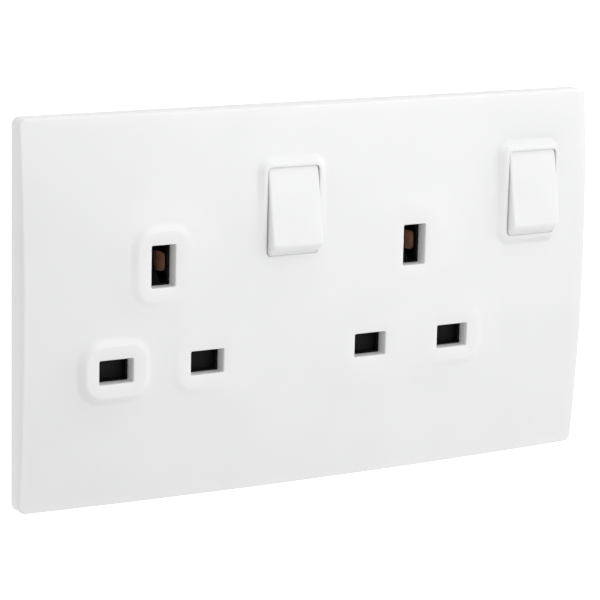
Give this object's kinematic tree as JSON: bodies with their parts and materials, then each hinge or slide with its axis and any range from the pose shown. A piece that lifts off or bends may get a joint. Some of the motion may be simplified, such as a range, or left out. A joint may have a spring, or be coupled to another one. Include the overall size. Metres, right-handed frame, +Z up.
{
  "type": "twin switched socket outlet",
  "caption": "White domed twin wall socket outlet for UK plugs, with a rocker switch beside each outlet, safety shutters and terminals behind.",
  "frame": {"origin": "midway between the two fixing screws, on the wall's surface", "axes": "+X to the right as seen from the front, +Z up, the front faces -Y and +Y goes into the wall box"},
  "size_m": [0.146, 0.0337, 0.086],
  "materials": {
    "white_plate": "satin gloss, moulded",
    "white_rocker": "satin gloss, moulded",
    "frame_plastic": "matt, moulded",
    "black_moulding": "matt, moulded",
    "black_shutter": "matt, moulded",
    "rear_moulding": "matt, moulded",
    "plunger_plastic": "smooth, moulded",
    "plated_steel": "zinc plated",
    "spring_steel": "bright wire",
    "brass_strip": "stamped",
    "brass_block": "machined",
    "copper_clip": "stamped phosphor bronze"
  },
  "bodies": {
    "housing": {"cover_plate": "white_plate", "mounting_frame": "frame_plastic", "front_housing": "black_moulding", "rear_housing": "rear_moulding", "housing_screws": "plated_steel", "line_busbar": "brass_strip", "neutral_busbar": "brass_strip", "earth_bar": "brass_strip", "line_terminal": "brass_block", "neutral_terminal": "brass_block", "left_earth_terminal": "brass_block", "right_earth_terminal": "brass_block", "terminal_screws": "plated_steel", "left_earth_contact": "copper_clip", "left_line_contact": "copper_clip", "left_neutral_contact": "copper_clip", "left_shutter_spring": "spring_steel", "right_earth_contact": "copper_clip", "right_line_contact": "copper_clip", "right_neutral_contact": "copper_clip", "right_shutter_spring": "spring_steel"},
    "left_rocker": {"left_rocker": "white_rocker", "left_line_plunger_spring": "spring_steel", "left_neutral_plunger_spring": "spring_steel"},
    "left_line_plunger": {"left_line_plunger": "plunger_plastic"},
    "left_line_moving_contact": {"left_line_moving_contact": "copper_clip"},
    "left_neutral_plunger": {"left_neutral_plunger": "plunger_plastic"},
    "left_neutral_moving_contact": {"left_neutral_moving_contact": "copper_clip"},
    "left_shutter": {"left_shutter": "black_shutter"},
    "right_rocker": {"right_rocker": "white_rocker", "right_line_plunger_spring": "spring_steel", "right_neutral_plunger_spring": "spring_steel"},
    "right_line_plunger": {"right_line_plunger": "plunger_plastic"},
    "right_line_moving_contact": {"right_line_moving_contact": "copper_clip"},
    "right_neutral_plunger": {"right_neutral_plunger": "plunger_plastic"},
    "right_neutral_moving_contact": {"right_neutral_moving_contact": "copper_clip"},
    "right_shutter": {"right_shutter": "black_shutter"}
  },
  "joints": [
    {"name": "left_switch", "type": "hinge", "parent": "housing", "child": "left_rocker", "pos_m": [-0.009, -0.003, 0.02], "axis": [1, 0, 0], "range_deg": [0, 21]},
    {"name": "left_line_plunger_slide", "type": "slide", "parent": "left_rocker", "child": "left_line_plunger", "axis": [0, -0.9833, 0.1822], "range_m": [0, 0.0006], "stiffness_N_per_m": 800, "springref_m": -0.001, "deforming": ["left_line_plunger_spring"]},
    {"name": "left_line_contact_rock", "type": "hinge", "parent": "housing", "child": "left_line_moving_contact", "pos_m": [-0.0124, 0.00895, 0.02], "axis": [1, 0, 0], "range_deg": [-12.6, 0]},
    {"name": "left_neutral_plunger_slide", "type": "slide", "parent": "left_rocker", "child": "left_neutral_plunger", "axis": [0, -0.9833, 0.1822], "range_m": [0, 0.0006], "stiffness_N_per_m": 800, "springref_m": -0.001, "deforming": ["left_neutral_plunger_spring"]},
    {"name": "left_neutral_contact_rock", "type": "hinge", "parent": "housing", "child": "left_neutral_moving_contact", "pos_m": [-0.0056, 0.00895, 0.02], "axis": [1, 0, 0], "range_deg": [-12.6, 0]},
    {"name": "left_shutter_slide", "type": "slide", "parent": "housing", "child": "left_shutter", "axis": [0, 0, -1], "range_m": [0, 0.0058], "stiffness_N_per_m": 120, "springref_m": -0.0025, "deforming": ["left_shutter_spring"]},
    {"name": "right_switch", "type": "hinge", "parent": "housing", "child": "right_rocker", "pos_m": [0.0552, -0.003, 0.02], "axis": [1, 0, 0], "range_deg": [0, 21]},
    {"name": "right_line_plunger_slide", "type": "slide", "parent": "right_rocker", "child": "right_line_plunger", "axis": [0, -0.9833, 0.1822], "range_m": [0, 0.0006], "stiffness_N_per_m": 800, "springref_m": -0.001, "deforming": ["right_line_plunger_spring"]},
    {"name": "right_line_contact_rock", "type": "hinge", "parent": "housing", "child": "right_line_moving_contact", "pos_m": [0.0518, 0.00895, 0.02], "axis": [1, 0, 0], "range_deg": [-12.6, 0]},
    {"name": "right_neutral_plunger_slide", "type": "slide", "parent": "right_rocker", "child": "right_neutral_plunger", "axis": [0, -0.9833, 0.1822], "range_m": [0, 0.0006], "stiffness_N_per_m": 800, "springref_m": -0.001, "deforming": ["right_neutral_plunger_spring"]},
    {"name": "right_neutral_contact_rock", "type": "hinge", "parent": "housing", "child": "right_neutral_moving_contact", "pos_m": [0.0586, 0.00895, 0.02], "axis": [1, 0, 0], "range_deg": [-12.6, 0]},
    {"name": "right_shutter_slide", "type": "slide", "parent": "housing", "child": "right_shutter", "axis": [0, 0, -1], "range_m": [0, 0.0058], "stiffness_N_per_m": 120, "springref_m": -0.0025, "deforming": ["right_shutter_spring"]}
  ],
  "couplings": [
    {"joint": "left_line_contact_rock", "follows": "left_switch", "ratio": -0.6},
    {"joint": "left_neutral_contact_rock", "follows": "left_switch", "ratio": -0.6},
    {"joint": "right_line_contact_rock", "follows": "right_switch", "ratio": -0.6},
    {"joint": "right_neutral_contact_rock", "follows": "right_switch", "ratio": -0.6}
  ]
}
